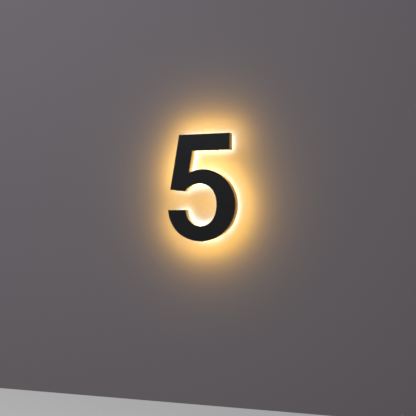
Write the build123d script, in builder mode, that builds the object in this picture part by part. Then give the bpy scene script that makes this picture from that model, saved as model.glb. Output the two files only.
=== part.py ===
from build123d import *
import os
from math import cos, radians, sin, tan

# A house number sign: the numeral 5 as a hollow metal hood that stands off a wall.
# An opal back plate, screwed to the wall through spacer sleeves, carries the LED modules.
# The hood pushes over the edge of that plate and three screws under its lower faces lock it.
# The modules shine forwards into the hood's white lining, and the light leaves through the
# plate and the gap behind the hood, as a halo on the wall.
#
# X is to the right, -Y is out of the wall towards the viewer and +Z is up.  The origin is on
# the wall, in the middle of the four wall screws.

os.makedirs("parts", exist_ok=True)

# ---------------------------------------------------------------------------
# Driving dimensions, in millimetres and degrees
# ---------------------------------------------------------------------------

# Outline of the numeral, in proportion to its height.  Heights and sideways places are from
# the middle of that height.
numeral_height = 300.0
bar_height = 0.1557 * numeral_height
bar_right = 0.2893 * numeral_height
stem_top_left = -0.2281 * numeral_height
stem_width = 0.1674 * numeral_height
stem_lean = 10.3
foot_height = -0.0153 * numeral_height
foot_fall = 6.4
terminal_height = -0.2061 * numeral_height

# Outer edge of the bowl: three arcs, met in turn from its lowest point.
bowl_low_x = -0.0033 * numeral_height
bowl_low_radius = 0.3881 * numeral_height
bowl_low_turn_right = 20.0
bowl_low_turn_left = 28.0
bowl_side_radius = 0.3338 * numeral_height
bowl_end_radius = 0.2992 * numeral_height

# Inner edge of the bowl: four arcs, met in turn from its highest point.
counter_top_x = -0.0132 * numeral_height
counter_top_height = 0.0392 * numeral_height
counter_left_radius = 0.2077 * numeral_height
counter_upper_radius = 0.1682 * numeral_height
counter_upper_turn = 72.0
counter_side_radius = 0.267 * numeral_height
counter_side_turn = 41.0
counter_lower_radius = 0.155 * numeral_height
counter_lower_turn = 160.0

# How far the open ends of both edges run on into the stem and the mouth, as angles.
bowl_overrun_angle = 60.0
bowl_end_turn = 70.0
mouth_reach = 0.1 * numeral_height

# Hood and gap, as depths out of the wall.
stand_off = 15.0
hood_depth = 20.0
face_thickness = 2.5
face_edge_break = 0.4
return_thickness = 1.0
lining_thickness = 0.3
lining_margin = 1.0

# Back plate.
plate_thickness = 4.0
plate_recess = 1.5
plate_clearance = 0.5

# Wall fixings, four on a rectangle about the origin.
fixing_spacing_x = 0.37 * numeral_height
fixing_spacing_z = 0.84 * numeral_height
fixing_rise = 0.032 * numeral_height
sleeve_diameter = 12.0
sleeve_bore = 4.6
washer_diameter = 12.0
washer_bore = 4.4
washer_thickness = 1.2
wall_screw_thread = 4.0
wall_screw_neck = 3.2
wall_screw_length = 60.0
wall_screw_point = 5.0
wall_screw_tip = 1.0
wall_screw_head = 8.0
wall_screw_head_height = 3.0
wall_screw_head_round = 1.0
driver_recess_width = 3.0
driver_recess_depth = 1.6

# Cable grommet in the back plate.
grommet_x = -0.2667 * numeral_height
grommet_height = 0.0567 * numeral_height
grommet_neck = 9.0
grommet_flange = 13.0
grommet_lip = 1.5
grommet_bore = 5.2

# Lock blocks on the plate, and the screws that hold the hood to them.
bar_lock_x = 0.1533 * numeral_height
foot_lock_x = -0.2567 * numeral_height
lock_block_length = 16.0
lock_block_width = 8.0
lock_block_height = 8.0
lock_block_gap = 0.6
lock_screw_diameter = 3.0
lock_screw_length = 7.0
lock_screw_head = 5.0
lock_screw_head_height = 1.0
lock_screw_socket = 2.0
lock_screw_socket_depth = 0.7
lock_head_gap = 0.08
lock_slot_play = 0.4
block_screw_spacing = 10.0
block_screw_diameter = 2.5
block_screw_head = 4.6
block_screw_length = 9.0
countersink_angle = 82.0

# Drain holes in the hood's lower faces.
drain_diameter = 5.0
drain_reach = 15.0
drain_spacing = 0.1467 * numeral_height
bar_drain_x = 0.0267 * numeral_height

# Stop pillars inside the hood, each with a rubber pad that seats on the plate.
pillar_diameter = 6.0
pad_thickness = 1.0
bar_pillar_xs = (-0.0933 * numeral_height, 0.2533 * numeral_height)
bar_pillar_height = 0.4533 * numeral_height
stem_pillar_x = -0.2633 * numeral_height
stem_pillar_height = 0.1367 * numeral_height
bowl_pillar_radius = 0.3 * numeral_height
bowl_pillar_angles = (60.0, -5.0, -76.0, -154.0)

# LED modules: a row along the bar, two on the stem and a ring round the bowl.
module_length = 24.0
module_width = 11.0
module_height = 5.2
module_corner = 2.0
module_top_round = 0.6
tape_thickness = 0.8
tape_margin = 1.0
pocket_margin = 1.6
pocket_depth = 4.0
board_thickness = 1.0
board_clearance = 0.1
window_diameter = 6.4
chip_size = 3.0
chip_height = 0.7
optic_diameter = 8.6
optic_flange = 0.7
optic_rise = 1.9
optic_round = 1.5
optic_hollow = 4.6
bar_module_xs = (-0.0467 * numeral_height, 0.0733 * numeral_height, 0.2333 * numeral_height)
stem_module_heights = (0.22 * numeral_height, 0.3267 * numeral_height)
ring_centre_height = -0.1613 * numeral_height
ring_radius = 0.2469 * numeral_height
ring_angles = (108.0, 81.0, 54.0, 27.0, 0.0, -27.0, -71.0, -109.0, -153.0)

# Leads between the modules, in pairs.
lead_diameter = 1.4
lead_level = 3.0
lead_spacing = 5.0
lead_clearance = 0.7
lead_hole_play = 0.2
lead_hole_overrun = 1.0
lead_bite = 2.5
terminal_bite = 5.0
corner_lead_radius = 10.0
foot_lead_drop = 0.04 * numeral_height
foot_lead_run = 0.07 * numeral_height
foot_lead_radii = (14.0, 6.5)

# Two-pole terminal block on the stem.
terminal_block_height = 0.1267 * numeral_height
terminal_length = 14.0
terminal_width = 12.0
terminal_depth = 7.6
terminal_round = 0.8
contact_diameter = 3.4
contact_bore = 2.2
contact_length = 11.0
terminal_screw_diameter = 2.0
terminal_screw_head = 3.0
terminal_screw_head_height = 1.0
terminal_screw_spacing = 6.4
terminal_screw_sink = 1.4
terminal_slot_width = 0.5
terminal_slot_depth = 0.4

# ---------------------------------------------------------------------------
# Depths out of the wall, and places on the numeral
# ---------------------------------------------------------------------------

plate_rear = stand_off + plate_recess
plate_front = plate_rear + plate_thickness
hood_front = stand_off + hood_depth
face_rear = hood_front - face_thickness
lock_depth = plate_front + lock_block_height / 2
module_rear = plate_front + tape_thickness
module_front = module_rear + module_height
lead_depth = plate_front + lead_level

top_height = numeral_height / 2
bar_underside = top_height - bar_height
lean_slope = tan(radians(stem_lean))
foot_slope = tan(radians(foot_fall))
block_reach = return_thickness + lock_block_gap + lock_block_width
bar_row_height = bar_underside + block_reach + lead_clearance + (lead_spacing + lead_diameter) / 2


def layer(depth):
    """The plane at a depth out of the wall, with its origin at the numeral's mid-height."""
    return Plane(origin=(0, -depth, -fixing_rise), x_dir=(1, 0, 0), z_dir=(0, -1, 0))


def spot(x, height, depth, turn=0.0):
    """A plane at one place on the numeral, facing out of the wall and turned in it."""
    return Plane(
        origin=layer(depth).from_local_coords((x, height, 0)),
        x_dir=(cos(radians(turn)), 0, sin(radians(turn))),
        z_dir=(0, -1, 0),
    )


def fixing_grid():
    """The four wall screw places, on a plane along the wall."""
    return GridLocations(fixing_spacing_x, fixing_spacing_z, 2, 2)


def fixings(depth):
    """The wall screw places at a depth, for things that lie along the screws."""
    return [Plane.XZ.offset(depth).location * place for place in fixing_grid()]


def stem_left(height):
    """The stem's left edge at a height."""
    return stem_top_left - (top_height - height) * lean_slope


def stem_middle(height):
    """The middle of the stem at a height."""
    return stem_left(height) + stem_width / 2


def foot_line(x):
    """The height of the stem's foot at a sideways place."""
    return foot_height - (x - stem_left(foot_height)) * foot_slope


# ---------------------------------------------------------------------------
# The numeral's outline
# ---------------------------------------------------------------------------

bar_left = stem_left(bar_underside)
mouth_left = stem_left(foot_height) - mouth_reach
mouth_right = stem_left(foot_height) + stem_width + mouth_reach
stem_end = foot_line(mouth_right)

with BuildSketch() as numeral:
    with BuildLine():
        Polyline(
            (stem_top_left, top_height),
            (bar_right, top_height),
            (bar_right, bar_underside),
            (bar_left, bar_underside),
            close=True,
        )
    make_face()
    with BuildLine():
        Polyline(
            (stem_top_left, top_height),
            (stem_top_left + stem_width, top_height),
            (stem_left(stem_end) + stem_width, stem_end),
            (stem_left(stem_end), stem_end),
            close=True,
        )
    make_face()
    with BuildLine():
        low_right = JernArc((bowl_low_x, -top_height), (1, 0), bowl_low_radius, bowl_low_turn_right)
        side = JernArc(
            low_right @ 1,
            low_right % 1,
            bowl_side_radius,
            180 - bowl_low_turn_right + bowl_overrun_angle,
        )
        low_left = JernArc((bowl_low_x, -top_height), (-1, 0), bowl_low_radius, -bowl_low_turn_left)
        end = JernArc(low_left @ 1, low_left % 1, bowl_end_radius, -bowl_end_turn)
        Line(side @ 1, end @ 1)
    make_face()
    with BuildLine():
        counter_top = (counter_top_x, counter_top_height)
        left = JernArc(counter_top, (-1, 0), counter_left_radius, bowl_overrun_angle)
        upper = JernArc(counter_top, (1, 0), counter_upper_radius, -counter_upper_turn)
        right = JernArc(upper @ 1, upper % 1, counter_side_radius, -counter_side_turn)
        lower = JernArc(right @ 1, right % 1, counter_lower_radius, -counter_lower_turn)
        Line(left @ 1, lower @ 1)
    make_face(mode=Mode.SUBTRACT)
    with BuildLine():
        Polyline(
            (mouth_left, foot_line(mouth_left)),
            (mouth_right, foot_line(mouth_right)),
            (mouth_right, terminal_height),
            (mouth_left, terminal_height),
            close=True,
        )
    make_face(mode=Mode.SUBTRACT)

# Each lock screw enters where its local -Y points, square to the outline.
lock_places = [
    (bar_lock_x, bar_underside, 0.0),
    (foot_lock_x, foot_line(foot_lock_x), -foot_fall),
    (bowl_low_x, -top_height, 0.0),
]


def lock_spot(place, depth, inset=0.0):
    """A plane facing out of the wall, inset from the outline at one lock screw."""
    x, height, turn = place
    return spot(x - inset * sin(radians(turn)), height + inset * cos(radians(turn)), depth, turn)


def lock_axis(place, outset):
    """A plane across one lock screw's axis, facing outwards, outset from the outline."""
    frame = lock_spot(place, lock_depth, -outset)
    return Plane(origin=frame.origin, x_dir=frame.x_dir, z_dir=-frame.y_dir)


# ---------------------------------------------------------------------------
# Places of the LED modules and the stop pillars
# ---------------------------------------------------------------------------

def ring_point(radius, angle):
    """A point at a radius and angle about the middle of the bowl."""
    return (
        radius * cos(radians(angle)),
        ring_centre_height + radius * sin(radians(angle)),
    )


bar_spots = [(x, bar_row_height, 0.0) for x in bar_module_xs]
stem_spots = [(stem_middle(height), height, 90.0 - stem_lean) for height in stem_module_heights]
ring_spots = [(*ring_point(ring_radius, angle), angle - 90.0) for angle in ring_angles]
module_spots = bar_spots + stem_spots + ring_spots
terminal_spot = (stem_middle(terminal_block_height), terminal_block_height, 90.0 - stem_lean)

pillar_points = [(x, bar_pillar_height) for x in bar_pillar_xs]
pillar_points += [(stem_pillar_x, stem_pillar_height)]
pillar_points += [ring_point(bowl_pillar_radius, angle) for angle in bowl_pillar_angles]


def modules_at(depth):
    """The locations of all LED modules at a depth, each with X along the module."""
    return [spot(*place[:2], depth, place[2]).location for place in module_spots]


# ---------------------------------------------------------------------------
# Hood: face plate, the return's strips, lining, stop pillars and pads
# ---------------------------------------------------------------------------

with BuildPart() as face_plate:
    with BuildSketch(layer(face_rear)):
        add(numeral.sketch)
    extrude(amount=face_thickness)
    chamfer(face_plate.faces().sort_by(Axis.Y)[0].edges(), face_edge_break)

drain_places = [
    (bar_drain_x, bar_underside, 0.0),
    (bowl_low_x - drain_spacing / 2, -top_height, 0.0),
    (bowl_low_x + drain_spacing / 2, -top_height, 0.0),
]
slot_width = lock_screw_diameter + lock_slot_play


def corner_near(x, height):
    """The corner of the numeral nearest to a place."""
    return numeral.vertices().sort_by_distance(Vector(x, height, 0))[0]


# The return is three strips of sheet that meet at corners of the numeral: one round the bar
# and the stem, one round the outside of the bowl, and one round the counter and the foot.
# The borders between the strips run inside the hollow stroke and out through those corners.
foot_corner = corner_near(stem_left(foot_height), foot_height)
bowl_corner = corner_near(stem_left(0) + stem_width, stem_width)
tip_corner = corner_near(-bowl_side_radius, terminal_height)
inside_foot = (foot_corner.X + stem_width / 2, foot_corner.Y + stem_width / 2)
inside_tip = (tip_corner.X + stem_width / 2, tip_corner.Y - stem_width / 3)

with BuildSketch() as stem_region:
    with BuildLine():
        Polyline(
            (foot_corner.X, foot_corner.Y),
            inside_foot,
            (bowl_corner.X, bowl_corner.Y),
            (bowl_corner.X + stem_width, bowl_corner.Y + stem_width),
            (numeral_height, bowl_corner.Y + stem_width),
            (numeral_height, numeral_height),
            (-numeral_height, numeral_height),
            (-numeral_height, foot_corner.Y),
            close=True,
        )
    make_face()

with BuildSketch() as counter_region:
    with Locations((0, ring_centre_height)):
        Circle(ring_radius)
    with BuildLine():
        Polyline(
            (foot_corner.X, foot_corner.Y),
            inside_foot,
            (0, ring_centre_height),
            inside_tip,
            (tip_corner.X, tip_corner.Y),
            (-numeral_height, tip_corner.Y),
            (-numeral_height, foot_corner.Y),
            close=True,
        )
    make_face()

with BuildSketch() as bowl_region:
    Rectangle(2 * numeral_height, 2 * numeral_height)
    add(stem_region.sketch, mode=Mode.SUBTRACT)
    add(counter_region.sketch, mode=Mode.SUBTRACT)


def return_strip(region):
    """The strip of the return that lies in a region, with its slots and drain holes."""
    with BuildPart() as strip:
        with BuildSketch(layer(stand_off)):
            add(numeral.sketch)
            offset(amount=-return_thickness, mode=Mode.SUBTRACT)
            add(region.sketch, mode=Mode.INTERSECT)
        extrude(amount=hood_depth - face_thickness)
        # Slots, open towards the wall, that slide over the lock screws.
        for place in lock_places:
            with BuildSketch(lock_axis(place, lock_head_gap)):
                Circle(slot_width / 2)
                with Locations((0, stand_off - lock_depth)):
                    Rectangle(slot_width, 2 * (lock_depth - stand_off))
            extrude(amount=-return_thickness - lock_block_gap, mode=Mode.SUBTRACT)
        # Drain holes, just in front of the back plate.
        for place in drain_places:
            with BuildSketch(lock_axis(place, drain_diameter)):
                Circle(drain_diameter / 2)
            extrude(amount=-drain_diameter - drain_reach, mode=Mode.SUBTRACT)
    return strip


bar_return = return_strip(stem_region)
bowl_return = return_strip(bowl_region)
counter_return = return_strip(counter_region)

with BuildPart() as lining:
    with BuildSketch(layer(face_rear - lining_thickness)):
        add(numeral.sketch)
        offset(amount=-return_thickness - lining_margin, mode=Mode.REPLACE)
        with Locations(*pillar_points):
            Circle(pillar_diameter / 2 + lining_margin / 2, mode=Mode.SUBTRACT)
    extrude(amount=lining_thickness)

with BuildPart() as stop_pillars:
    with BuildSketch(layer(plate_front + pad_thickness)):
        with Locations(*pillar_points):
            Circle(pillar_diameter / 2)
    extrude(amount=face_rear - plate_front - pad_thickness)

with BuildPart() as stop_pads:
    with BuildSketch(layer(plate_front)):
        with Locations(*pillar_points):
            Circle(pillar_diameter / 2)
    extrude(amount=pad_thickness)

# ---------------------------------------------------------------------------
# Back plate and wall fixings
# ---------------------------------------------------------------------------

block_screw_offsets = (-block_screw_spacing / 2, block_screw_spacing / 2)
block_inset = return_thickness + lock_block_gap + lock_block_width / 2
block_screw_frames = [
    lock_spot(place, plate_rear, block_inset).location * Location((offset_x, 0, 0))
    for place in lock_places
    for offset_x in block_screw_offsets
]

with BuildPart() as back_plate:
    with BuildSketch(layer(plate_rear)):
        add(numeral.sketch)
        offset(
            amount=-return_thickness - plate_clearance,
            mode=Mode.REPLACE,
        )
        with Locations((grommet_x, grommet_height)):
            Circle(grommet_neck / 2, mode=Mode.SUBTRACT)
    extrude(amount=plate_thickness)
    with Locations(*fixings(plate_front)):
        Hole(sleeve_bore / 2)
    with Locations(*[frame * Location((0, 0, 0), (180, 0, 0)) for frame in block_screw_frames]):
        CounterSinkHole(
            block_screw_diameter / 2,
            block_screw_head / 2,
            plate_thickness,
            countersink_angle,
        )

with BuildPart() as spacer_sleeves:
    with BuildSketch(Plane.XZ):
        with fixing_grid():
            Circle(sleeve_diameter / 2)
            Circle(sleeve_bore / 2, mode=Mode.SUBTRACT)
    extrude(amount=plate_rear)

with BuildPart() as seal_washers:
    with BuildSketch(Plane.XZ.offset(plate_front)):
        with fixing_grid():
            Circle(washer_diameter / 2)
            Circle(washer_bore / 2, mode=Mode.SUBTRACT)
    extrude(amount=washer_thickness)

screw_seat = plate_front + washer_thickness

with BuildPart() as wall_screws:
    with BuildSketch(Plane.XZ.offset(screw_seat)):
        with fixing_grid():
            Circle(wall_screw_head / 2)
    extrude(amount=wall_screw_head_height)
    fillet(wall_screws.edges().group_by(Axis.Y)[0], wall_screw_head_round)
    # A plain neck as far as the wall, then the thread, then the point.
    with BuildSketch(Plane.XZ.offset(screw_seat)):
        with fixing_grid():
            Circle(wall_screw_neck / 2)
    extrude(amount=-screw_seat)
    point_start = wall_screw_length - wall_screw_point
    with BuildSketch(Plane.XZ):
        with fixing_grid():
            Circle(wall_screw_thread / 2)
    extrude(amount=screw_seat - point_start)
    with Locations(*fixings(screw_seat - point_start)):
        Cone(
            wall_screw_thread / 2,
            wall_screw_tip / 2,
            wall_screw_point,
            rotation=(180, 0, 0),
            align=(Align.CENTER, Align.CENTER, Align.MIN),
        )
    with BuildSketch(Plane.XZ.offset(screw_seat + wall_screw_head_height)):
        with fixing_grid():
            RegularPolygon(driver_recess_width / 2, 6)
    extrude(amount=-driver_recess_depth, mode=Mode.SUBTRACT)

grommet_depth = plate_rear - grommet_lip

with BuildPart() as cable_grommet:
    with BuildSketch(spot(grommet_x, grommet_height, grommet_depth)):
        Circle(grommet_flange / 2)
    extrude(amount=grommet_lip)
    with BuildSketch(spot(grommet_x, grommet_height, plate_rear)):
        Circle(grommet_neck / 2)
    extrude(amount=plate_thickness)
    with BuildSketch(spot(grommet_x, grommet_height, plate_front)):
        Circle(grommet_flange / 2)
    extrude(amount=grommet_lip)
    fillet(cable_grommet.edges().group_by(Axis.Y)[0], grommet_lip / 2)
    fillet(cable_grommet.edges().group_by(Axis.Y)[-1], grommet_lip / 2)
    with Locations(spot(grommet_x, grommet_height, plate_front + grommet_lip).location):
        Hole(grommet_bore / 2)

# ---------------------------------------------------------------------------
# Lock blocks and their screws
# ---------------------------------------------------------------------------

with BuildPart() as lock_blocks:
    for place in lock_places:
        with BuildSketch(lock_spot(place, plate_front, block_inset)):
            Rectangle(lock_block_length, lock_block_width)
            with Locations(*[(offset_x, 0) for offset_x in block_screw_offsets]):
                Circle(block_screw_diameter / 2, mode=Mode.SUBTRACT)
        extrude(amount=lock_block_height)
    for place in lock_places:
        with BuildSketch(lock_axis(place, 0.0)):
            Circle(lock_screw_diameter / 2)
        extrude(amount=-lock_screw_length - return_thickness, mode=Mode.SUBTRACT)

with BuildPart() as block_screws:
    with Locations(*block_screw_frames):
        Cylinder(
            block_screw_diameter / 2,
            block_screw_length,
            align=(Align.CENTER, Align.CENTER, Align.MIN),
        )
        Cone(
            block_screw_head / 2,
            block_screw_diameter / 2,
            (block_screw_head - block_screw_diameter) / 2 / tan(radians(countersink_angle / 2)),
            align=(Align.CENTER, Align.CENTER, Align.MIN),
        )

with BuildPart() as lock_screws:
    for place in lock_places:
        with BuildSketch(lock_axis(place, lock_head_gap)):
            Circle(lock_screw_head / 2)
        extrude(amount=lock_screw_head_height)
        with BuildSketch(lock_axis(place, lock_head_gap)):
            Circle(lock_screw_diameter / 2)
        extrude(amount=-lock_screw_length)
    for place in lock_places:
        with BuildSketch(lock_axis(place, lock_head_gap + lock_screw_head_height)):
            RegularPolygon(lock_screw_socket / 2, 6)
        extrude(amount=-lock_screw_socket_depth, mode=Mode.SUBTRACT)

# ---------------------------------------------------------------------------
# LED modules
# ---------------------------------------------------------------------------

seated = (Align.CENTER, Align.CENTER, Align.MIN)

with BuildPart() as tape_pads:
    with Locations(*modules_at(plate_front)):
        Box(
            module_length - 2 * tape_margin,
            module_width - 2 * tape_margin,
            tape_thickness,
            align=seated,
        )

with BuildPart() as module_cases:
    with Locations(*modules_at(module_rear)):
        Box(module_length, module_width, module_height, align=seated)
    fillet(module_cases.edges().filter_by(Axis.Y), module_corner)
    fillet(module_cases.faces().filter_by(Axis.Y).group_by(Axis.Y)[0].edges(), module_top_round)
    with Locations(*modules_at(module_rear)):
        Box(
            module_length - 2 * pocket_margin,
            module_width - 2 * pocket_margin,
            pocket_depth,
            align=seated,
            mode=Mode.SUBTRACT,
        )
        Cylinder(window_diameter / 2, module_height, align=seated, mode=Mode.SUBTRACT)
    with Locations(*modules_at(lead_depth)):
        with Locations((0, lead_spacing / 2, 0), (0, -lead_spacing / 2, 0)):
            Cylinder(
                (lead_diameter + lead_hole_play) / 2,
                module_length + 2 * lead_hole_overrun,
                rotation=(0, 90, 0),
                mode=Mode.SUBTRACT,
            )

with BuildPart() as module_boards:
    with Locations(*modules_at(module_rear + pocket_depth - board_thickness)):
        Box(
            module_length - 2 * (pocket_margin + board_clearance),
            module_width - 2 * (pocket_margin + board_clearance),
            board_thickness,
            align=seated,
        )

with BuildPart() as led_chips:
    with Locations(*modules_at(module_rear + pocket_depth)):
        Box(chip_size, chip_size, chip_height, align=seated)

with BuildPart() as module_optics:
    with Locations(*modules_at(module_front)):
        Cylinder(optic_diameter / 2, optic_flange, align=seated)
        Cylinder(optic_diameter / 2 - optic_flange, optic_flange + optic_rise, align=seated)
    fillet(module_optics.edges().group_by(Axis.Y)[0], optic_round)
    with Locations(*modules_at(module_front)):
        Cylinder(optic_hollow / 2, optic_flange, align=seated, mode=Mode.SUBTRACT)

# ---------------------------------------------------------------------------
# Terminal block
# ---------------------------------------------------------------------------

terminal_rear = plate_front + tape_thickness
terminal_front = terminal_rear + terminal_depth
screw_sink_depth = terminal_front - terminal_screw_sink


def terminal_at(depth):
    """The terminal block's location at a depth, with X along its contacts."""
    return spot(*terminal_spot[:2], depth, terminal_spot[2]).location


def contact_axes(depth):
    """The two contacts' locations at a depth."""
    return [terminal_at(depth) * place for place in GridLocations(0, lead_spacing, 1, 2)]


def terminal_screw_axes(depth):
    """The four terminal screws' locations at a depth."""
    layout = GridLocations(terminal_screw_spacing, lead_spacing, 2, 2)
    return [terminal_at(depth) * place for place in layout]


with BuildPart() as terminal_pad:
    with Locations(terminal_at(plate_front)):
        Box(
            terminal_length - 2 * tape_margin,
            terminal_width - 2 * tape_margin,
            tape_thickness,
            align=seated,
        )

with BuildPart() as terminal_case:
    with Locations(terminal_at(terminal_rear)):
        Box(terminal_length, terminal_width, terminal_depth, align=seated)
    fillet(terminal_case.edges().filter_by(Axis.Y), terminal_round)
    with Locations(*contact_axes(lead_depth)):
        Cylinder(
            contact_diameter / 2,
            terminal_length + 2 * lead_hole_overrun,
            rotation=(0, 90, 0),
            mode=Mode.SUBTRACT,
        )
    with Locations(*terminal_screw_axes(lead_depth)):
        Cylinder(
            (terminal_screw_head + lead_hole_play) / 2,
            terminal_depth,
            align=seated,
            mode=Mode.SUBTRACT,
        )

with BuildPart() as terminal_contacts:
    with Locations(*contact_axes(lead_depth)):
        Cylinder(contact_diameter / 2, contact_length, rotation=(0, 90, 0))
        Cylinder(contact_bore / 2, contact_length, rotation=(0, 90, 0), mode=Mode.SUBTRACT)
    with Locations(*terminal_screw_axes(lead_depth)):
        Cylinder(terminal_screw_diameter / 2, terminal_depth, align=seated, mode=Mode.SUBTRACT)

with BuildPart() as terminal_screws:
    with Locations(*terminal_screw_axes(screw_sink_depth - terminal_screw_head_height)):
        Cylinder(terminal_screw_head / 2, terminal_screw_head_height, align=seated)
    with Locations(*terminal_screw_axes(lead_depth + lead_diameter / 2)):
        Cylinder(
            terminal_screw_diameter / 2,
            screw_sink_depth - lead_depth - lead_diameter / 2,
            align=seated,
        )
    with Locations(*terminal_screw_axes(screw_sink_depth)):
        Box(
            terminal_screw_head,
            terminal_slot_width,
            2 * terminal_slot_depth,
            mode=Mode.SUBTRACT,
        )

# ---------------------------------------------------------------------------
# Leads: pairs that run from module to module, and from the terminal block both ways
# ---------------------------------------------------------------------------

lead_layer = layer(lead_depth)


def lead_end(place, side, length=module_length, bite=lead_bite):
    """Where a pair of leads meets the end of a module or block.

    Gives the end's point, the direction out of it, and where the pair stops inside it.
    """
    x, height, turn = place
    frame = spot(x, height, lead_depth, turn)
    outwards = frame.x_dir * side
    end_point = frame.origin + outwards * length / 2
    return end_point, outwards, end_point - outwards * bite


def straight_lead(start, finish):
    """A straight pair between two ends."""
    with BuildLine(lead_layer) as path:
        Line(start[2], finish[2])
    return path.wire()


def bent_lead(start, finish, corners, radii):
    """A pair with rounded corners between two ends."""
    with BuildLine(lead_layer) as path:
        FilletPolyline(start[2], *corners, finish[2], radius=radii)
    return path.wire()


def ring_lead(start, finish):
    """A pair that curves evenly from one module of the ring to the next."""
    with BuildLine(lead_layer) as path:
        Line(start[2], start[0])
        TangentArc(start[0], finish[0], tangent=start[1])
        Line(finish[0], finish[2])
    return path.wire()


terminal_top = lead_end(terminal_spot, 1, terminal_length, terminal_bite)
terminal_foot = lead_end(terminal_spot, -1, terminal_length, terminal_bite)
lead_paths = [straight_lead(terminal_top, lead_end(stem_spots[0], -1))]
for row in (stem_spots, bar_spots):
    for behind, beyond in zip(row, row[1:]):
        lead_paths += [straight_lead(lead_end(behind, 1), lead_end(beyond, -1))]

# The ring's paths run back towards the block, so that each pole keeps its colour.
for behind, beyond in zip(ring_spots, ring_spots[1:]):
    lead_paths += [ring_lead(lead_end(beyond, -1), lead_end(behind, 1))]

# Round the corner from the stem into the bar.
stem_top = lead_end(stem_spots[-1], 1)
bar_start = lead_end(bar_spots[0], -1)
corner_rise = bar_start[0].Z - stem_top[0].Z
bar_bend = stem_top[0] + stem_top[1] * corner_rise / cos(radians(stem_lean))
lead_paths += [bent_lead(stem_top, bar_start, [bar_bend], corner_lead_radius)]

# Down from the terminal block and round into the bowl's ring.
ring_start = lead_end(ring_spots[0], -1)
foot_bend = terminal_foot[0] + terminal_foot[1] * foot_lead_drop
ring_bend = ring_start[0] + ring_start[1] * foot_lead_run
lead_paths += [bent_lead(ring_start, terminal_foot, [ring_bend, foot_bend], foot_lead_radii)]


def across(path):
    """The plane across the start of a lead's path, with X in the plane of the paths."""
    return Plane(path @ 0, x_dir=(path % 0).cross(Vector(0, -1, 0)), z_dir=path % 0)


with BuildPart() as red_leads:
    for path in lead_paths:
        with BuildSketch(across(path)):
            with Locations((-lead_spacing / 2, 0)):
                Circle(lead_diameter / 2)
        sweep(path=path)

with BuildPart() as black_leads:
    for path in lead_paths:
        with BuildSketch(across(path)):
            with Locations((lead_spacing / 2, 0)):
                Circle(lead_diameter / 2)
        sweep(path=path)

for piece, name in (
    (face_plate, "face_plate"),
    (bar_return, "bar_return"),
    (bowl_return, "bowl_return"),
    (counter_return, "counter_return"),
    (lining, "lining"),
    (stop_pillars, "stop_pillars"),
    (stop_pads, "stop_pads"),
    (back_plate, "back_plate"),
    (spacer_sleeves, "spacer_sleeves"),
    (seal_washers, "seal_washers"),
    (wall_screws, "wall_screws"),
    (cable_grommet, "cable_grommet"),
    (lock_blocks, "lock_blocks"),
    (block_screws, "block_screws"),
    (lock_screws, "lock_screws"),
    (tape_pads, "tape_pads"),
    (module_cases, "module_cases"),
    (module_boards, "module_boards"),
    (led_chips, "led_chips"),
    (module_optics, "module_optics"),
    (terminal_pad, "terminal_pad"),
    (terminal_case, "terminal_case"),
    (terminal_contacts, "terminal_contacts"),
    (terminal_screws, "terminal_screws"),
    (red_leads, "red_leads"),
    (black_leads, "black_leads"),
):
    piece.part.label = name
    export_step(piece.part, f"parts/{name}.step")
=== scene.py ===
# %% [markdown]
# # A halo-lit house number
#
# The object is a numeral, 300 mm high, that stands off a wall.  A black hood covers an opal
# plate with LED modules on it, and the light comes out behind the hood as a halo on the wall.
# Its solids are already modelled in another program and packed as a frame.  This lesson gives
# them their finishes, adds the small shapes that solids leave out, and lights the whole thing
# so that the halo reads.  Everything is in metres.  +X is to the reader's right, -Y comes out
# of the wall and +Z is up, with the origin on the wall between the four wall screws.

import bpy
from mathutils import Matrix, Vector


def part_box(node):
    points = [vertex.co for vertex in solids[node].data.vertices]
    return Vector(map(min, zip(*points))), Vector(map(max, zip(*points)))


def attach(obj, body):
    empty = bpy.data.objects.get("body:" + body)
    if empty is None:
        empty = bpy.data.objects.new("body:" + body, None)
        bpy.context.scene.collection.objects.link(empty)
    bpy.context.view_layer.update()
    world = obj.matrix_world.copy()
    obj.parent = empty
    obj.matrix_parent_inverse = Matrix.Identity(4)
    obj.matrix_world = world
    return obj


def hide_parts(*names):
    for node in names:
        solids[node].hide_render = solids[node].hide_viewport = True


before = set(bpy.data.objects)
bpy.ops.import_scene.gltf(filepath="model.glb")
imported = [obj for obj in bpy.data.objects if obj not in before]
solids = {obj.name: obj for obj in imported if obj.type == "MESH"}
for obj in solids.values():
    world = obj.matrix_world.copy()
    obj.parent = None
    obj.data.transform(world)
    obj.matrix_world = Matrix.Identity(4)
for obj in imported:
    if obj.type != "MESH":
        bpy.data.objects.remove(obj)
print("solids:", ", ".join(sorted(solids)))

# %% [markdown]
# ## Maths for the later cells
#
# The maths functions that later cells use are brought in here, and the view layer is brought up
# to date.

# %% Import maths
from math import atan2, cos, degrees, hypot, pi, radians, sin

import bpy
from mathutils import Matrix, Vector

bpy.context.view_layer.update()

# %% [markdown]
# ## Camera
#
# The view is from the reader's right and a little below the numeral.  A viewpoint can be found
# by eye, or worked out from how the numeral's known rectangle is drawn in perspective.  Here it
# was worked out, so the camera gets a place, a turn about the vertical and a slight upward tilt,
# and a long lens with its picture centred on the sensor.

# %% Place the camera
camera_place = Vector((1.24008, -2.56947, -0.12368))
camera_turn = 25.6617
camera_rise = 1.1623
lens_length = 87.64
sensor_width = 36.0
farthest_seen = 50.0

camera_data = bpy.data.cameras.new("viewpoint")
camera_data.lens = lens_length
camera_data.sensor_width = sensor_width
camera_data.clip_end = farthest_seen
camera = bpy.data.objects.new("viewpoint", camera_data)
camera.location = camera_place
camera.rotation_euler = (radians(90 + camera_rise), 0, radians(camera_turn))
bpy.context.scene.collection.objects.link(camera)
bpy.context.scene.camera = camera
bpy.context.scene.view_settings.view_transform = "Standard"
print("camera is", round(camera_place.length, 3), "m from the sign")

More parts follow.
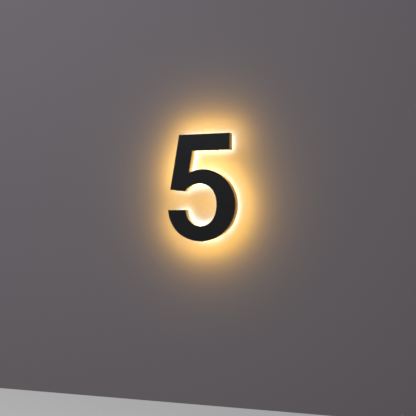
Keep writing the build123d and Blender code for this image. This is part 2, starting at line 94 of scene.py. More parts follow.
# %% [markdown]
# ## Writing shaders as sums
#
# A finish is easier to read as a sum than as a picture of wires.  `Signal` wraps one output
# socket, and Python's own operators on it add Math nodes.  `Finish` holds one material, and its
# `node` method adds any other kind of node: first its settings, then its sockets.

# %% A socket that can be added and multiplied
class Signal:
    """One output socket of a finish, written in sums like a number."""

    def __init__(self, finish, socket):
        self.finish = finish
        self.socket = socket

    def maths(self, operation, first, second):
        return self.finish.node("ShaderNodeMath", {"operation": operation}, {0: first, 1: second})

    def __add__(self, other):
        return self.maths("ADD", self, other)

    def __sub__(self, other):
        return self.maths("SUBTRACT", self, other)

    def __mul__(self, other):
        return self.maths("MULTIPLY", self, other)

    def __rsub__(self, other):
        return self.maths("SUBTRACT", other, self)

    __radd__ = __add__
    __rmul__ = __mul__


# %% A finish and its nodes
class Finish:
    """A material with a Principled shader, and short ways to add nodes to it."""

    def __init__(self, name):
        self.material = bpy.data.materials.new(name)
        self.material.use_nodes = True
        self.tree = self.material.node_tree
        self.shader = self.tree.nodes["Principled BSDF"]
        self.surface = self.tree.nodes["Material Output"].inputs["Surface"]

    def node(self, kind, settings=None, sockets=None, output=0):
        """Adds a node, sets it, fills its sockets and returns one of its outputs."""
        node = self.tree.nodes.new(kind)
        for name, value in (settings or {}).items():
            setattr(node, name, value)
        for key, value in (sockets or {}).items():
            self.join(node.inputs[key], value)
        return Signal(self, node.outputs[output])

    def join(self, socket, value):
        """Links a signal to a socket, or writes a number or colour on it."""
        if isinstance(value, Signal):
            self.tree.links.new(value.socket, socket)
        elif socket.type == "RGBA":
            socket.default_value = (*value, 1.0)
        else:
            socket.default_value = value

    def set(self, **values):
        """Sets sockets of the Principled shader, with _ for a space in their names."""
        for name, value in values.items():
            self.join(self.shader.inputs[name.replace("_", " ")], value)
        return self

    def place(self, scale=(1, 1, 1)):
        """The object's own coordinates, scaled."""
        where = self.node("ShaderNodeTexCoord", output="Object")
        return self.node("ShaderNodeMapping", sockets={"Vector": where, "Scale": scale})

    def along(self, axis):
        """One of the object's own coordinates."""
        return self.node("ShaderNodeSeparateXYZ", sockets={0: self.place()}, output=axis)

    def grain(self, size, detail=2.0, scale=(1, 1, 1)):
        """Noise from 0 to 1 with spots about one size across, in metres."""
        return self.node(
            "ShaderNodeTexNoise",
            sockets={"Vector": self.place(scale), "Scale": 1.0 / size, "Detail": detail},
        )

    def cells(self, size):
        """The distance to the nearest of many scattered points, in cells."""
        return self.node(
            "ShaderNodeTexVoronoi", sockets={"Vector": self.place(), "Scale": 1.0 / size}
        )

    def step(self, signal, low, high, from_value=0.0, to_value=1.0):
        """A smooth change between two values as a signal goes from low to high."""
        return self.node(
            "ShaderNodeMapRange",
            {"interpolation_type": "SMOOTHSTEP"},
            {0: signal, 1: low, 2: high, 3: from_value, 4: to_value},
        )

    def mix(self, share, first, second):
        """The first colour where the share is 0, and the second where it is 1."""
        return self.node(
            "ShaderNodeMix", {"data_type": "RGBA"}, {0: share, 6: first, 7: second}, output=2
        )

    def bump(self, height, depth, strength):
        """A surface bent by a height from 0 to 1, that many metres deep."""
        return self.node(
            "ShaderNodeBump",
            sockets={"Height": height, "Distance": depth, "Strength": strength},
        )


def dress(finish, *names):
    """Puts a finish on solids of the frame."""
    for name in names:
        slots = solids[name].data.materials
        slots.clear()
        slots.append(finish.material)
    print(finish.material.name, "on", ", ".join(names))


# %% [markdown]
# ## Wall and floor
#
# A halo needs a surface to fall on.  The stage is a plain wall behind the numeral and a plain
# pale floor well below it.  A white wall would drown the glow, so it is a mid grey.  Three more
# things are decided here.  Seen from behind, the wall lets the view through, so the back of the
# sign can be looked at.  Light that comes back from the wall onto matt parts is replaced by an
# even glow, so that those parts show their own colours instead of the lamps' full glare.  And in
# glossy parts the wall is mirrored paler and warmer than it looks, less so towards the right,
# because the dark returns would pick up too little of the halo from a mid grey.

# %% Stage finishes
wall_colour = (0.174, 0.155, 0.163)
wall_mirrored = (0.90, 0.655, 0.405)
wall_mirrored_right = (0.42, 0.30, 0.19)
wall_fill = (0.42, 0.40, 0.38)
floor_colour = (0.62, 0.61, 0.60)
dimming_starts, dimming_ends = 0.03, 0.09

wall_finish = Finish("plain_wall")
seen_in_gloss = wall_finish.node("ShaderNodeLightPath", output="Is Glossy Ray")
rightwards = wall_finish.step(wall_finish.along("X"), dimming_starts, dimming_ends)
mirrored = wall_finish.mix(rightwards, wall_mirrored, wall_mirrored_right)
wall_finish.set(
    Base_Color=wall_finish.mix(seen_in_gloss, wall_colour, mirrored),
    Roughness=0.9,
    Specular_IOR_Level=0.0,
)
seen_from_behind = wall_finish.node("ShaderNodeNewGeometry", output="Backfacing")
seen_by_camera = wall_finish.node("ShaderNodeLightPath", output="Is Camera Ray")
seen_by_matt = wall_finish.node("ShaderNodeLightPath", output="Is Diffuse Ray")
even_glow = wall_finish.node("ShaderNodeEmission", sockets={"Color": wall_fill})
painted = Signal(wall_finish, wall_finish.shader.outputs[0])
wall_front = wall_finish.node(
    "ShaderNodeMixShader", sockets={0: seen_by_matt, 1: painted, 2: even_glow}
)
nothing = wall_finish.node("ShaderNodeBsdfTransparent")
wall_seen = wall_finish.node(
    "ShaderNodeMixShader",
    sockets={0: seen_from_behind * seen_by_camera, 1: wall_front, 2: nothing},
)
wall_finish.join(wall_finish.surface, wall_seen)

floor_finish = Finish("plain_floor")
floor_finish.set(Base_Color=floor_colour, Roughness=0.85, Specular_IOR_Level=0.2)
print("stage finishes:", wall_finish.material.name, floor_finish.material.name)


# %% Stage pieces
def stage_sheet(name, size, place, turn, finish):
    """One flat sheet of the stage."""
    bpy.ops.object.select_all(action="DESELECT")
    bpy.ops.mesh.primitive_plane_add(size=1)
    sheet = bpy.context.object
    sheet.name = name
    sheet.data.transform(Matrix.Diagonal((*size, 1, 1)))
    sheet.data.transform(Matrix.Translation(place) @ Matrix.Rotation(radians(turn), 4, "X"))
    sheet.data.materials.append(finish.material)
    return sheet


floor_height = -0.62
wall_width, wall_height = 9.0, 6.0
clear_of_sleeves = 0.0006
wall_middle = (0, clear_of_sleeves, floor_height + wall_height / 2)
wall = stage_sheet("wall", (wall_width, wall_height), wall_middle, 90, wall_finish)
stage_sheet("floor", (wall_width, wall_width), (0, 0, floor_height), 0, floor_finish)
print("wall faces", tuple(round(x) for x in wall.data.polygons[0].normal))

# %% [markdown]
# ## Studio light
#
# Daylight is kept plain and soft: one large lamp above and to the left in front, and an even
# sky from the world.  Together they light a white card about white, so each colour renders
# about as it is written.

# %% World and soft lamp
sky_colour, sky_strength = (0.93, 0.96, 1.0, 1.0), 0.34
backdrop_colour = (0.80, 0.80, 0.80, 1.0)
key_place, key_side, key_power = (-1.3, -2.2, 2.0), 1.8, 60.0
key_colour = (0.88, 0.93, 1.0)

world = bpy.data.worlds.new("even_sky")
bpy.context.scene.world = world
world.use_nodes = True
sky_nodes = world.node_tree.nodes
sky_links = world.node_tree.links
sky = sky_nodes["Background"]
sky.inputs["Color"].default_value = sky_colour
sky.inputs["Strength"].default_value = sky_strength
backdrop = sky_nodes.new("ShaderNodeBackground")
backdrop.inputs["Color"].default_value = backdrop_colour
chooser = sky_nodes.new("ShaderNodeMixShader")
rays = sky_nodes.new("ShaderNodeLightPath")
sky_links.new(rays.outputs["Is Camera Ray"], chooser.inputs[0])
sky_links.new(sky.outputs[0], chooser.inputs[1])
sky_links.new(backdrop.outputs[0], chooser.inputs[2])
sky_links.new(chooser.outputs[0], sky_nodes["World Output"].inputs["Surface"])


def flat_lamp(name, size, power, colour, stance):
    """A rectangular lamp that shines along its own -Z, put in its stance."""
    data = bpy.data.lights.new(name, "AREA")
    data.shape = "RECTANGLE"
    data.size, data.size_y = size
    data.energy = power
    data.color = colour
    lamp = bpy.data.objects.new(name, data)
    bpy.context.scene.collection.objects.link(lamp)
    lamp.matrix_world = stance
    return lamp


aim = (-Vector(key_place)).to_track_quat("-Z", "Y").to_matrix().to_4x4()
key_stance = Matrix.Translation(key_place) @ aim
key = flat_lamp("soft_key", (key_side, key_side), key_power, key_colour, key_stance)
print("key lamp at", tuple(round(x, 2) for x in key.location))

# %% [markdown]
# ## Halo light
#
# In the real sign the LEDs fill the hood with light, which leaves through the opal plate and
# strikes the wall some 16 mm behind it.  Cycles could trace that whole way, but slowly and with
# much noise.  Instead, flat lamps are laid along the stroke, facing the wall, and light the wall
# alone.  Two sets are needed.  The near set lies in the gap behind the plate and makes the bright
# rim.  The far set stands for light that the plate spreads widely, so it is further off the wall
# and further out, and casts no shadow.  Its depth sets how far the halo reaches.

# %% One halo lamp
wall_only = bpy.data.collections.new("lit_by_halo")
wall_only.objects.link(wall)


def halo_lamp(name, place, size, turn, radiance, colour, shadowless):
    """A flat lamp that faces the wall, with its length turned in the wall's plane."""
    stance = (
        Matrix.Translation(place)
        @ Matrix.Rotation(-radians(turn), 4, "Y")
        @ Matrix.Rotation(radians(90), 4, "X")
    )
    lamp = flat_lamp(name, size, 4 * size[0] * size[1] * radiance, colour, stance)
    lamp.visible_camera = False
    lamp.visible_glossy = False
    lamp.visible_transmission = False
    lamp.light_linking.receiver_collection = wall_only
    if shadowless:
        lamp.light_linking.blocker_collection = wall_only
    return lamp


# %% Lay the halo lamps along the stroke
middle_height = -0.0096
bar_x, bar_height, bar_length, bar_narrowing = 0.0088, middle_height + 0.1260, 0.154, 0.001
bar_goes_right, bar_goes_up, bar_grows = 0.2, 0.7, 0.9
stem_x, stem_height, stem_length, stem_slope = -0.0617, middle_height + 0.0470, 0.113, 79.7
ring_x, ring_height, ring_reach = 0.0, middle_height - 0.0484, 0.0765
ring_start, ring_end, ring_lamps = 124.0, -171.0, 13
strongest_towards, least_lift, bar_lift = -40, -0.1, 0.3


def halo_lamps(name, depth, width, spread, radiance, colour, shadowless, lift):
    """Lamps for the bar, the stem and the ring of the bowl, moved outwards by a spread.

    The ring's lamps get stronger by a lift towards the lower right, the side that is seen best.
    """
    bar = (bar_x + bar_goes_right * spread, depth, bar_height + bar_goes_up * spread)
    bar_size = (bar_length + bar_grows * spread, width - bar_narrowing)
    bar_radiance = radiance * (1 + bar_lift * lift)
    stem = (stem_x - spread, depth, stem_height)
    stem_size = (stem_length, width)
    lamps = [
        halo_lamp(f"{name}_bar", bar, bar_size, 0, bar_radiance, colour, shadowless),
        halo_lamp(f"{name}_stem", stem, stem_size, stem_slope, radiance, colour, shadowless),
    ]
    share = (ring_start - ring_end) / ring_lamps
    reach = ring_reach + spread
    for index in range(ring_lamps):
        angle = ring_start - share * (index + 0.5)
        x = ring_x + reach * cos(radians(angle))
        z = ring_height + reach * sin(radians(angle))
        size = (reach * radians(share), width)
        facing = max(least_lift, cos(radians(angle - strongest_towards)))
        lifted = radiance * (1 + lift * facing)
        lamp = halo_lamp(
            f"{name}_bowl_{index}", (x, depth, z), size, angle - 90, lifted, colour, shadowless
        )
        lamps.append(lamp)
    return lamps


near_lamps = halo_lamps(
    "halo_near",
    depth=-0.0125,
    width=0.0500,
    spread=0.0,
    radiance=7.3,
    colour=(0.82, 1.0, 0.86),
    shadowless=False,
    lift=0.50,
)
far_lamps = halo_lamps(
    "halo_far",
    depth=-0.060,
    width=0.036,
    spread=0.018,
    radiance=25.4,
    colour=(1.0, 0.584, 0.062),
    shadowless=True,
    lift=0.08,
)
print(len(near_lamps) + len(far_lamps), "halo lamps")

# %% [markdown]
# ## Black powder coat
#
# The hood is aluminium, baked with a black satin powder.  Such a coat is never a flat black: it
# has a fine orange-peel surface, its gloss drifts a little from place to place, and dust dulls
# it.  A picture could show this, but noise at two sizes costs less and has no edges.  The face
# takes the weather and has lost some gloss.  The returns are better sheltered the nearer they
# are to the wall, so they get a clear coat that grows that way and mirrors the lit wall.

# %% Hood finish
def powder_coat(name, gloss, roughness):
    """The hood's black coat, with how much it mirrors and how sharply."""
    coat = Finish(name)
    cloudy = coat.grain(0.045, detail=3.0)
    peel = coat.grain(0.0011, detail=2.0)
    speck = coat.step(coat.cells(0.0032), 0.10, 0.02)
    return coat.set(
        Base_Color=coat.mix(
            cloudy * 0.5 + speck * 0.25, (0.0046, 0.0045, 0.0048), (0.0100, 0.0096, 0.0098)
        ),
        Roughness=cloudy * 0.10 + peel * 0.04 + roughness,
        Normal=coat.bump(peel, 0.00006, 0.5),
        Specular_IOR_Level=gloss,
    )


weathered = powder_coat("weathered_black_coat", gloss=0.22, roughness=0.36)
dress(weathered, "face_plate")

sheltered = powder_coat("black_powder_coat", gloss=0.30, roughness=0.24)
bare_at_face, full_at_rear = 0.004, 0.002
shelter_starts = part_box("face_plate")[0].y + bare_at_face
shelter_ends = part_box("bowl_return")[1].y - full_at_rear
sheltered.set(
    Coat_Weight=sheltered.step(sheltered.along("Y"), shelter_starts, shelter_ends),
    Coat_Roughness=0.22,
)
dress(sheltered, "bar_return", "bowl_return", "counter_return")
print("clear coat grows from", round(shelter_starts, 4), "to", round(shelter_ends, 4))

# %% [markdown]
# ## Opal plate
#
# The plate is a milky sheet lit through from the hood.  Its glow is painted light: an emission
# that stands for the LEDs' light coming through it, stronger on its rear face.  It is brightest
# where the light can reach it, and a painted shadow makes it a little darker behind each module,
# which stands in the way.  The pattern could be painted on a picture of the plate.  Instead each
# module's place is read from its circuit board, and a soft-edged painted shadow is taken off the
# glow there.

# %% Find where the modules are
def loose_parts(name):
    """The separate parts of a solid node, each as a list of its points."""
    mesh = solids[name].data
    spot_of = [tuple(round(c, 6) for c in v.co) for v in mesh.vertices]
    parent = {spot: spot for spot in spot_of}

    def head(spot):
        while parent[spot] != spot:
            parent[spot] = parent[parent[spot]]
            spot = parent[spot]
        return spot

    for face in mesh.polygons:
        first = head(spot_of[face.vertices[0]])
        for index in face.vertices[1:]:
            parent[head(spot_of[index])] = first
    parts = {}
    for spot in parent:
        parts.setdefault(head(spot), []).append(Vector(spot))
    return list(parts.values())


def place_and_turn(points):
    """The middle of a flat part, and the angle of its long side in the wall's plane."""
    middle = sum(points, Vector()) / len(points)
    across = [(p.x - middle.x, p.z - middle.z) for p in points]
    spread_xx = sum(x * x for x, z in across)
    spread_zz = sum(z * z for x, z in across)
    spread_xz = sum(x * z for x, z in across)
    return middle, degrees(0.5 * atan2(2 * spread_xz, spread_xx - spread_zz))


module_places = [place_and_turn(points) for points in loose_parts("module_boards")]
print(len(module_places), "modules, the first at", [round(c, 4) for c in module_places[0][0]])

# %% Plate finish, with its painted glow and painted module shadows
# The size and soft edge of each painted module shadow, and below them, how strong the painted
# glow and the painted shadows are.
patch_size = (0.0155, 1.0, 0.0095)
patch_core, patch_edge = 0.45, 1.35
plate_skin, plate_rear = -0.0195, -0.0170
painted_side_glow, painted_rear_glow, painted_shadow_strength = 0.34, 0.46, 0.38

opal = Finish("opal_polycarbonate")
painted_module_shadows = None
# Painted shadows: a soft patch, darker on the glow, behind each module's case.
for middle, turn in module_places:
    local = opal.node(
        "ShaderNodeMapping",
        {"vector_type": "TEXTURE"},
        {
            "Vector": opal.node("ShaderNodeTexCoord", output="Object"),
            "Location": tuple(middle),
            "Rotation": (0, -radians(turn), 0),
            "Scale": patch_size,
        },
    )
    flat = opal.node(
        "ShaderNodeVectorMath", {"operation": "MULTIPLY"}, {0: local, 1: (1.0, 0.0, 1.0)}
    )
    reach = opal.node("ShaderNodeVectorMath", {"operation": "LENGTH"}, {0: flat}, output="Value")
    shadow_patch = opal.step(reach, patch_core, patch_edge, 1.0, 0.0)
    painted_module_shadows = shadow_patch if painted_module_shadows is None else painted_module_shadows + shadow_patch
# Painted light: the plate's rear face is given more glow than its front and sides.
rear = opal.step(opal.along("Y"), plate_skin, plate_rear)
milk = opal.grain(0.030, detail=3.0)
# The painted glow: side and rear glow, less under the painted module shadows, and a little uneven
# with the milky sheet.
painted_glow = (painted_side_glow + rear * painted_rear_glow) * (1.0 - painted_module_shadows * painted_shadow_strength) * (0.90 + milk * 0.2)
opal.set(
    Base_Color=opal.mix(milk, (0.80, 0.77, 0.71), (0.86, 0.84, 0.79)),
    Roughness=0.24 + milk * 0.12,
    Normal=opal.bump(opal.grain(0.004, detail=1.0), 0.00003, 0.3),
    Emission_Color=opal.mix(painted_glow, (0.0, 0.0, 0.0), (0.86, 0.56, 0.25)),
    Emission_Strength=1.0,
    IOR=1.58,
)
dress(opal, "back_plate")

# %% [markdown]
# ## Metals
#
# The bare metals differ in how they were worked.  Extruded and turned aluminium keeps fine lines
# along the cut, the stainless screws are smoother and darker, and the lock screws are blackened.
# Stretched noise makes the lines: the coordinates are squeezed one way before the noise is read.

# %% Bare metal finishes
aluminium = Finish("mill_aluminium")
drawn = aluminium.grain(0.0009, detail=4.0, scale=(1.0, 0.06, 1.0))
stain = aluminium.grain(0.006, detail=3.0)
aluminium.set(
    Base_Color=aluminium.mix(stain, (0.60, 0.61, 0.63), (0.76, 0.77, 0.79)),
    Metallic=1.0,
    Roughness=0.26 + drawn * 0.16 + stain * 0.06,
    Normal=aluminium.bump(drawn, 0.00004, 0.5),
)
dress(aluminium, "lock_blocks", "stop_pillars")

steel = Finish("stainless_steel")
lathe = steel.grain(0.0004, detail=3.0, scale=(0.15, 1.0, 0.15))
steel.set(
    Base_Color=steel.mix(steel.grain(0.003), (0.50, 0.49, 0.48), (0.66, 0.65, 0.64)),
    Metallic=1.0,
    Roughness=0.18 + lathe * 0.14,
    Normal=steel.bump(lathe, 0.00002, 0.4),
)
dress(steel, "wall_screws", "block_screws", "terminal_screws")

black_steel = Finish("black_steel")
rub = black_steel.step(black_steel.grain(0.0007, detail=3.0), 0.56, 0.70)
black_steel.set(
    Base_Color=black_steel.mix(rub * 0.5, (0.016, 0.016, 0.018), (0.10, 0.095, 0.09)),
    Metallic=0.55 + rub * 0.3,
    Roughness=0.42 - rub * 0.12,
    Normal=black_steel.bump(black_steel.grain(0.0005), 0.00002, 0.4),
)
dress(black_steel, "lock_screws")

brass = Finish("plated_brass")
brass.set(
    Base_Color=brass.mix(brass.grain(0.002), (0.62, 0.47, 0.20), (0.78, 0.64, 0.34)),
    Metallic=1.0,
    Roughness=0.22 + brass.grain(0.0006, detail=3.0) * 0.16,
)
dress(brass, "terminal_contacts")

# %% [markdown]
# ## Rubber, foam and clear plastic
#
# Rubber is matt and picks up pale dust.  The foam tape shows its cut cells, which Voronoi cells
# imitate: dents with painted shade in them.  The sleeves are clear acrylic tube, so that they
# hardly interrupt the halo, and the lenses over the LEDs are the same plastic, polished.

# %% Soft and clear finishes
rubber = Finish("black_rubber")
dust = rubber.step(rubber.grain(0.005, detail=4.0), 0.52, 0.78)
rubber.set(
    Base_Color=rubber.mix(dust * 0.6, (0.018, 0.018, 0.019), (0.075, 0.070, 0.064)),
    Roughness=0.66 + dust * 0.2,
    Normal=rubber.bump(rubber.grain(0.0006), 0.00004, 0.4),
    Specular_IOR_Level=0.35,
)
dress(rubber, "stop_pads", "cable_grommet", "seal_washers")

foam = Finish("foam_tape")
# The pores are dents, and the colour is darker in their middles: painted shade in the pores.
pores_and_pore_shade = foam.cells(0.0007)
foam.set(
    Base_Color=foam.mix(foam.step(pores_and_pore_shade, 0.0, 0.5), (0.42, 0.42, 0.41), (0.74, 0.74, 0.72)),
    Roughness=0.9,
    Normal=foam.bump(pores_and_pore_shade, 0.00012, 0.6),
    Specular_IOR_Level=0.2,
)
dress(foam, "tape_pads", "terminal_pad")

sleeve = Finish("clear_sleeve")
rings = sleeve.grain(0.0005, detail=2.0, scale=(0.1, 1.0, 0.1))
sleeve.set(
    Base_Color=sleeve.mix(sleeve.grain(0.004), (0.90, 0.92, 0.92), (0.97, 0.98, 0.98)),
    Roughness=0.10 + rings * 0.12,
    Normal=sleeve.bump(rings, 0.00002, 0.4),
    Transmission_Weight=0.85,
    IOR=1.49,
)
dress(sleeve, "spacer_sleeves")

lens = Finish("clear_optic")
lens.set(
    Base_Color=lens.mix(lens.grain(0.002), (0.95, 0.95, 0.94), (0.98, 0.98, 0.98)),
    Roughness=0.04 + lens.grain(0.0015) * 0.05,
    Transmission_Weight=0.9,
    IOR=1.49,
)
dress(lens, "module_optics")

# %% [markdown]
# ## Light engine
#
# The modules are white moulded cases.  Through each lens shows a white circuit board with one
# yellow phosphor square on it, which glows.  A glowing finish lights its neighbours a little in
# Cycles, but it is here for its own look, not to light the scene.

# %% White parts and LEDs
film = Finish("white_film")
ripple = film.grain(0.020, detail=2.0, scale=(1.0, 1.0, 0.5))
film.set(
    Base_Color=film.mix(ripple, (0.80, 0.80, 0.77), (0.88, 0.88, 0.86)),
    Roughness=0.46 + ripple * 0.12,
    Normal=film.bump(ripple, 0.0003, 0.3),
)
dress(film, "lining")

moulding = Finish("white_moulding")
sink = moulding.grain(0.010, detail=2.0)
moulding.set(
    Base_Color=moulding.mix(sink, (0.84, 0.82, 0.77), (0.91, 0.89, 0.85)),
    Roughness=0.34 + sink * 0.14,
    Normal=moulding.bump(moulding.grain(0.0009), 0.00003, 0.4),
)
dress(moulding, "module_cases")

board = Finish("circuit_board")
copper = board.step(board.cells(0.0030), 0.16, 0.10)
board.set(
    Base_Color=board.mix(copper, (0.78, 0.80, 0.77), (0.66, 0.58, 0.40)),
    Roughness=0.36 - copper * 0.1,
    Metallic=copper * 0.7,
)
dress(board, "module_boards")

phosphor = Finish("led_phosphor")
grit = phosphor.grain(0.0004)
phosphor.set(
    Base_Color=phosphor.mix(grit, (0.86, 0.62, 0.14), (0.95, 0.74, 0.24)),
    Roughness=0.5 + grit * 0.2,
    Emission_Color=phosphor.mix(grit, (1.0, 0.70, 0.34), (1.0, 0.82, 0.52)),
    Emission_Strength=3.0,
)
dress(phosphor, "led_chips")

# %% [markdown]
# ## Wiring
#
# The leads are soft PVC, drawn through a die, so they are smooth with a faint waviness along
# them.  The terminal block is grey nylon, a little waxy and mottled.

# %% Wiring finishes
def insulation(name, dark, bright):
    """A PVC insulation of one colour."""
    pvc = Finish(name)
    wave = pvc.grain(0.0030, detail=2.0)
    return pvc.set(
        Base_Color=pvc.mix(wave, dark, bright),
        Roughness=0.30 + wave * 0.18,
        Normal=pvc.bump(wave, 0.00005, 0.4),
    )


dress(insulation("red_insulation", (0.34, 0.014, 0.010), (0.52, 0.030, 0.020)), "red_leads")
dress(insulation("black_insulation", (0.010, 0.010, 0.011), (0.026, 0.026, 0.028)), "black_leads")

nylon = Finish("grey_nylon")
mottle = nylon.grain(0.003, detail=3.0)
nylon.set(
    Base_Color=nylon.mix(mottle, (0.46, 0.47, 0.46), (0.60, 0.61, 0.60)),
    Roughness=0.42 + mottle * 0.14,
    Normal=nylon.bump(nylon.grain(0.0007), 0.00003, 0.4),
)
dress(nylon, "terminal_case")

# %% [markdown]
# ## Turned pieces
#
# A screw is a turned piece: one outline, swept round an axis.  The solids have smooth shanks, so
# the wall screws are modelled again with a thread.  The outline is drawn point by point with
# extrude, spun round, and its seam is merged.  Spin makes its faces in an order that changes
# from run to run, so they are put in a steady order, and each run gives the same mesh.

# %% A way to turn an outline
same_place = 1e-6


def pick(*pieces):
    """Selects these pieces alone, the first active, for the operators that follow."""
    bpy.ops.object.select_all(action="DESELECT")
    for piece in reversed(pieces):
        piece.select_set(True)
        bpy.context.view_layer.objects.active = piece


def one_point(name, place):
    """A new object with a single vertex, in edit mode."""
    pick()
    bpy.ops.mesh.primitive_plane_add(size=0.001)
    piece = bpy.context.object
    piece.name = name
    bpy.ops.object.mode_set(mode="EDIT")
    bpy.ops.mesh.select_all(action="SELECT")
    bpy.ops.mesh.merge(type="CENTER")
    bpy.ops.transform.translate(value=place)
    return piece


def put_in_order(piece):
    """Writes the faces of a mesh again, sorted by their points."""
    points = [vertex.co.copy() for vertex in piece.data.vertices]
    faces = []
    for face in piece.data.polygons:
        corners = list(face.vertices)
        first = corners.index(min(corners))
        faces.append(corners[first:] + corners[:first])
    piece.data.clear_geometry()
    piece.data.from_pydata(points, [], sorted(faces))


def turned(name, outline, steps):
    """Spins an outline of (radius, y) points round the Y axis."""
    radius, along = outline[0]
    piece = one_point(name, (radius, along, 0))
    for (old_radius, old_along), (radius, along) in zip(outline, outline[1:]):
        bpy.ops.mesh.extrude_vertices_move(
            TRANSFORM_OT_translate={"value": (radius - old_radius, along - old_along, 0)}
        )
    bpy.ops.mesh.select_all(action="SELECT")
    bpy.ops.mesh.spin(steps=steps, angle=2 * pi, center=(0, 0, 0), axis=(0, 1, 0))
    bpy.ops.mesh.select_all(action="SELECT")
    bpy.ops.mesh.remove_doubles(threshold=same_place)
    bpy.ops.mesh.normals_make_consistent(inside=False)
    bpy.ops.object.mode_set(mode="OBJECT")
    put_in_order(piece)
    return piece


# %% Ways to join, copy and fit a piece
def joined(name, pieces):
    """Joins pieces into one object."""
    pick(*pieces)
    bpy.ops.object.join()
    whole = bpy.context.object
    whole.name = name
    return whole


def copies_at(name, model, places):
    """One object made of a copy of a model at each place, the model itself being removed."""
    pieces = []
    for place in places:
        copy = bpy.data.objects.new(name, model.data.copy())
        copy.data.transform(place)
        bpy.context.scene.collection.objects.link(copy)
        pieces.append(copy)
    bpy.data.objects.remove(model)
    return joined(name, pieces)


def smooth(piece, sharpest=35):
    """Shades a piece smooth, except over edges sharper than an angle."""
    pick(piece)
    bpy.ops.object.shade_smooth_by_angle(angle=radians(sharpest))


def fitted(piece, finish, body):
    """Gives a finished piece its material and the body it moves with."""
    piece.data.materials.clear()
    piece.data.materials.append(finish.material)
    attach(piece, body)
    print(piece.name, "has", len(piece.data.polygons), "faces")


def part_middles(name):
    """The middles of the boxes round a node's separate parts."""
    middles = []
    for points in loose_parts(name):
        low = Vector([min(p[i] for p in points) for i in range(3)])
        high = Vector([max(p[i] for p in points) for i in range(3)])
        middles.append((low + high) / 2)
    return middles


# %% [markdown]
# ## Wall screws
#
# A pan head with a six-sided recess, a plain neck as far as the wall, then the thread.  The
# recess is turned round like the rest, and its points are then moved onto six flats.  The
# thread could be a stack of rings, but a real one climbs.  So its section, a flat-topped ridge,
# is wound up the shank by the Screw modifier, and the two open ends of the ridge are filled.

# %% Turn the shank and shape the recess
screw_low, screw_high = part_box("wall_screws")
head_height, tip_length = 0.003, 0.005
head_top = screw_low.y
head_seat = head_top + head_height
thread_end = screw_high.y - tip_length
head_radius, neck_radius, thread_radius, root_radius = 0.004, 0.0016, 0.002, 0.00150
recess_radius, recess_floor, recess_growth = 0.0013, head_top + 0.0016, 1.12
neck_end, tip_radius = -0.0004, 0.0004
turning_steps = 24

shank = turned(
    "wall_screw",
    [
        (0.0, recess_floor),
        (recess_radius, recess_floor),
        (recess_radius, head_top),
        (head_radius - 0.0010, head_top),
        (head_radius - 0.0004, head_top + 0.0002),
        (head_radius - 0.0001, head_top + 0.0006),
        (head_radius, head_top + 0.0011),
        (head_radius, head_seat),
        (neck_radius, head_seat),
        (neck_radius, neck_end),
        (root_radius, 0.0),
        (root_radius, thread_end),
        (tip_radius, screw_high.y),
        (0.0, screw_high.y),
    ],
    turning_steps,
)
sixth = pi / 3
moved = 0
for vertex in shank.data.vertices:
    if abs(hypot(vertex.co.x, vertex.co.z) - recess_radius) < same_place:
        angle = atan2(vertex.co.z, vertex.co.x)
        from_flat = (angle + sixth / 2) % sixth - sixth / 2
        reach = recess_radius * cos(sixth / 2) / cos(from_flat) * recess_growth
        vertex.co.x, vertex.co.z = reach * cos(angle), reach * sin(angle)
        moved += 1
print("points moved to make the recess six-sided:", moved)

# %% Wind the thread and set a screw in each place
pitch = 0.0018
thread_start, plain_end = 0.0006, 0.0012
root_overlap, crest_clearance = 0.0002, 0.00002
turns = int((thread_end - plain_end) / pitch)
ridge_height = thread_radius - root_radius + root_overlap - crest_clearance
flank, crest = pitch * 0.30, pitch * 0.10
winding_steps = 20

ridge = one_point("thread", (root_radius - root_overlap, 0, 0))
for x, z in ((ridge_height, flank), (0, crest), (-ridge_height, flank)):
    bpy.ops.mesh.extrude_vertices_move(TRANSFORM_OT_translate={"value": (x, 0, z)})
bpy.ops.mesh.select_all(action="SELECT")
bpy.ops.mesh.edge_face_add()
bpy.ops.mesh.delete(type="ONLY_FACE")
bpy.ops.object.mode_set(mode="OBJECT")
winding = ridge.modifiers.new("winding", "SCREW")
winding.axis = "Z"
winding.screw_offset = pitch
winding.iterations = turns
winding.steps = winding.render_steps = winding_steps
winding.use_merge_vertices = False
bpy.ops.object.modifier_apply(modifier="winding")
bpy.ops.object.mode_set(mode="EDIT")
bpy.ops.mesh.select_all(action="SELECT")
bpy.ops.mesh.fill_holes(sides=6)
bpy.ops.mesh.select_all(action="SELECT")
bpy.ops.mesh.normals_make_consistent(inside=False)
bpy.ops.object.mode_set(mode="OBJECT")
ridge.data.transform(Matrix.Rotation(radians(-90), 4, "X"))
ridge.data.transform(Matrix.Translation((0, thread_start, 0)))
screw = joined("wall_screw", [shank, ridge])
screw_places = [Matrix.Translation((m.x, 0, m.z)) for m in part_middles("wall_screws")]
threaded = copies_at("threaded_wall_screws", screw, screw_places)
smooth(threaded)
fitted(threaded, steel, "wall_side")
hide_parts("wall_screws")
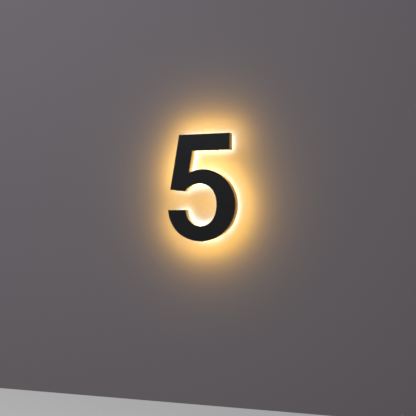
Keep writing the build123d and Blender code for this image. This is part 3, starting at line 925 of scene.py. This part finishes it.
print("thread turns:", turns)

# %% [markdown]
# ## Block screws
#
# Six small countersunk screws come through the plate from behind and hold the lock blocks.  From
# the back their cross recesses show, so they are modelled again too: turned like the wall
# screws, then cut with a tapered cross by a Boolean modifier.

# %% Turn a countersunk screw
block_low, block_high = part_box("block_screws")
flush = block_high.y
sunk_radius, sunk_edge, sunk_depth = 0.0023, 0.00008, 0.00121
shaft_radius, point_radius, point_length = 0.00125, 0.0007, 0.0006

sunk = turned(
    "block_screw",
    [
        (0.0, flush),
        (sunk_radius - 0.0002, flush),
        (sunk_radius, flush - sunk_edge),
        (shaft_radius, flush - sunk_depth),
        (shaft_radius, block_low.y + point_length),
        (point_radius, block_low.y),
        (0.0, block_low.y),
    ],
    turning_steps,
)
print("countersunk screw is", round((flush - block_low.y) * 1000, 2), "mm long")

# %% Cut its cross and set a screw in each place
arm_length, arm_width, arm_depth = 0.0026, 0.00062, 0.0014
deep_length, deep_width = 0.35, 0.6
above_flush = 0.0001


def cross_arm(turn):
    """A bar that narrows with depth, for cutting one arm of the cross."""
    pick()
    bpy.ops.mesh.primitive_cube_add(size=1)
    arm = bpy.context.object
    arm.data.transform(Matrix.Diagonal((arm_length, arm_depth, arm_width, 1)))
    for vertex in arm.data.vertices:
        if vertex.co.y < 0:
            vertex.co.x *= deep_length
            vertex.co.z *= deep_width
    arm.data.transform(Matrix.Translation((0, flush - arm_depth / 2 + above_flush, 0)))
    arm.data.transform(Matrix.Rotation(radians(turn), 4, "Y"))
    return arm


for turn in (0, 90):
    arm = cross_arm(turn)
    cut = sunk.modifiers.new("cross", "BOOLEAN")
    cut.operation = "DIFFERENCE"
    cut.solver = "EXACT"
    cut.object = arm
    pick(sunk)
    bpy.ops.object.modifier_apply(modifier="cross")
    bpy.data.objects.remove(arm)
block_places = [Matrix.Translation((m.x, 0, m.z)) for m in part_middles("block_screws")]
crossed = copies_at("cross_head_screws", sunk, block_places)
smooth(crossed)
fitted(crossed, steel, "wall_side")
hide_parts("block_screws")
